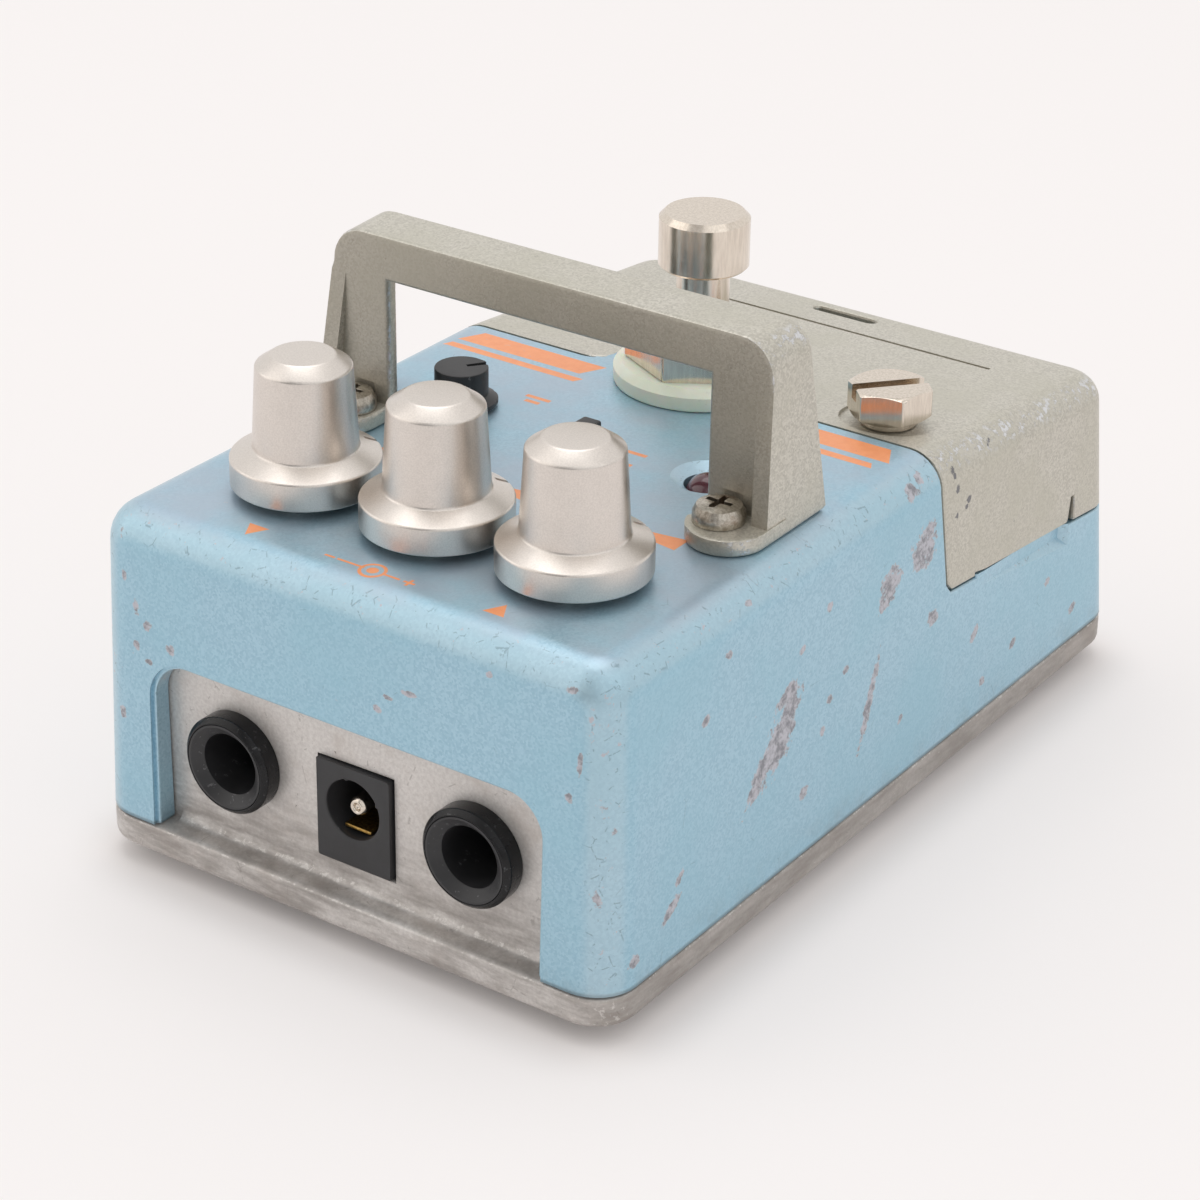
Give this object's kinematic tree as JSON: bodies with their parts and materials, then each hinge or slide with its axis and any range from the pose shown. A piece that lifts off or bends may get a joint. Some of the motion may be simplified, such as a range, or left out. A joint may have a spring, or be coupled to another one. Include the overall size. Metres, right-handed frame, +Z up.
{
  "type": "delay pedal",
  "caption": "Compact guitar delay pedal: cast blue case with a guard handle, top-hat knobs, a small knob, a mode lever, a footswitch, a screwed battery cover and a recessed jack panel.",
  "frame": {"origin": "on the floor, under the middle of the case", "axes": "+Z up, +Y towards the foot end with the battery cover, -Y towards the jack panel, +X to the output jack's side"},
  "size_m": [0.063, 0.1008, 0.059],
  "materials": {
    "blue_paint": "worn metallic sky-blue paint on a casting",
    "bare_casting": "bare grey casting with speckle and grime",
    "khaki_paint": "champagne-grey metallic paint with rubbed edges",
    "foot_rubber": "matt black rubber",
    "screw_steel": "plated steel, a little rusty in the recess",
    "nickel": "worn nickel plate",
    "knob_aluminium": "satin blasted aluminium",
    "shaft_aluminium": "turned aluminium",
    "plated_steel": "tinned or plated steel",
    "spring_steel": "spring wire",
    "brass": "plain brass",
    "black_plastic": "black moulded plastic",
    "ring_plastic": "glossy black ring nut",
    "grey_plastic": "grey moulded plastic",
    "blue_plastic": "blue moulded switch body",
    "pale_plastic": "pale green translucent plastic",
    "red_lens": "dark red unlit lens",
    "wire_sheath": "blue wire sheath",
    "lead_sheath": "red wire sheath",
    "board": "green circuit board",
    "capacitor_sleeve": "dark blue sleeve",
    "battery_wrap": "plain dark battery case",
    "foam": "soft dark foam"
  },
  "bodies": {
    "case": {"housing": "blue_paint", "base_plate": "bare_casting", "rubber_feet": "foot_rubber", "base_screws": "screw_steel", "handle": "khaki_paint", "handle_screws": "screw_steel", "cover_insert": "brass", "left_pot": "plated_steel", "centre_pot": "plated_steel", "right_pot": "plated_steel", "pot_nuts": "plated_steel", "trim_pot": "grey_plastic", "slide_switch": "plated_steel", "led": "red_lens", "led_leads": "plated_steel", "footswitch_nut": "nickel", "footswitch_washer": "pale_plastic", "footswitch_bushing": "nickel", "footswitch_lock_nut": "nickel", "footswitch_case": "blue_plastic", "footswitch_spring": "spring_steel", "footswitch_lugs": "plated_steel", "switch_wires": "wire_sheath", "input_jack": "black_plastic", "output_jack": "black_plastic", "jack_rings": "ring_plastic", "jack_pins": "plated_steel", "dc_jack": "black_plastic", "dc_pin": "nickel", "dc_contact": "brass", "circuit_board": "board", "chips": "black_plastic", "capacitors": "capacitor_sleeve", "battery": "battery_wrap", "battery_snap": "black_plastic", "battery_leads": "lead_sheath", "foam_pad": "foam"},
    "left_control": {"left_knob": "knob_aluminium", "left_shaft": "shaft_aluminium"},
    "centre_control": {"centre_knob": "knob_aluminium", "centre_shaft": "shaft_aluminium"},
    "right_control": {"right_knob": "knob_aluminium", "right_shaft": "shaft_aluminium"},
    "trim_control": {"trim_knob": "black_plastic", "trim_shaft": "grey_plastic"},
    "lever": {"slide_lever": "black_plastic"},
    "button": {"plunger_cap": "nickel", "plunger": "nickel"},
    "cover": {"battery_cover": "khaki_paint"},
    "thumbscrew": {"cover_screw": "nickel", "screw_clip": "screw_steel"}
  },
  "joints": [
    {"name": "left_turn", "type": "hinge", "parent": "case", "child": "left_control", "pos_m": [-0.016, -0.0345, 0.0464], "axis": [0, 0, -1], "range_deg": [0, 300]},
    {"name": "centre_turn", "type": "hinge", "parent": "case", "child": "centre_control", "pos_m": [0, -0.0345, 0.0464], "axis": [0, 0, -1], "range_deg": [0, 300]},
    {"name": "right_turn", "type": "hinge", "parent": "case", "child": "right_control", "pos_m": [0.016, -0.0345, 0.0464], "axis": [0, 0, -1], "range_deg": [0, 300]},
    {"name": "trim_turn", "type": "hinge", "parent": "case", "child": "trim_control", "pos_m": [-0.016, -0.00945, 0.0414], "axis": [0, 0, -1], "range_deg": [0, 270]},
    {"name": "lever_slide", "type": "slide", "parent": "case", "child": "lever", "axis": [0, -1, 0], "range_m": [0, 0.002]},
    {"name": "button_press", "type": "slide", "parent": "case", "child": "button", "axis": [0, 0, -1], "range_m": [0, 0.003], "stiffness_N_per_m": 2000, "springref_m": -0.001, "deforming": ["footswitch_spring"]},
    {"name": "cover_lift", "type": "slide", "parent": "case", "child": "cover", "axis": [0, 0, 1], "range_m": [0, 0.045]},
    {"name": "thumbscrew_turn", "type": "hinge", "parent": "cover", "child": "thumbscrew", "pos_m": [0.0207, 0.015, 0.0394], "axis": [0, 0, 1], "continuous": true}
  ]
}
